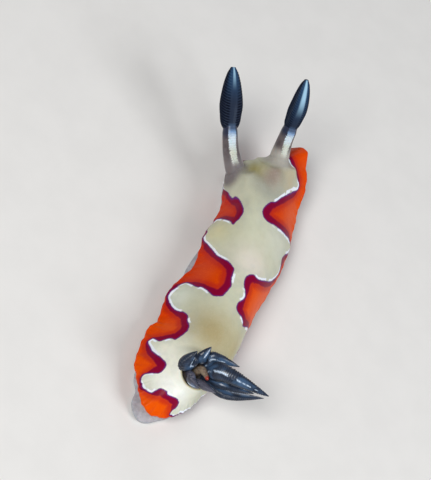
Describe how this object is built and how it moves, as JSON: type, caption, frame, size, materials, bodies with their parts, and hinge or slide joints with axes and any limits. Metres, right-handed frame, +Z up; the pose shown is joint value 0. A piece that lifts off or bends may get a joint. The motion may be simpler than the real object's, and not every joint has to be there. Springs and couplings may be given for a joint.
{
  "type": "faithful sea slug",
  "caption": "Life-size still model of a faithful sea slug: flat foot, hump-backed mantle with a wavy skirt, ringed feelers and a plume of feathered gills.",
  "frame": {"origin": "on the flat sole of the foot, below the middle of the body", "axes": "+Y from tail to head, +Z up from the sole, +X to the animal's right"},
  "size_m": [0.0111, 0.0237, 0.0084],
  "materials": {
    "mantle": "moist, smooth, slightly translucent flesh, cream with maroon-edged orange borders and a broken white line",
    "foot": "moist, translucent grey-white flesh",
    "feeler_stalk": "moist, translucent grey-brown flesh with an opaque white streak",
    "feeler_club": "moist dark blue flesh with fine slanted plates and a white streak",
    "gill": "moist blue-black feathered flesh with white-blue streaks",
    "papilla": "moist red-orange flesh"
  },
  "bodies": {
    "root": {"mantle_front": "mantle", "mantle_middle": "mantle", "mantle_rear": "mantle", "foot_front": "foot", "foot_middle": "foot", "tail": "foot", "snout": "foot", "oral_tentacle_left": "foot", "oral_tentacle_right": "foot", "rhinophore_left_stalk": "feeler_stalk", "rhinophore_right_stalk": "feeler_stalk", "rhinophore_left_club": "feeler_club", "rhinophore_right_club": "feeler_club", "gills": "gill", "anal_papilla": "papilla"}
  },
  "joints": []
}
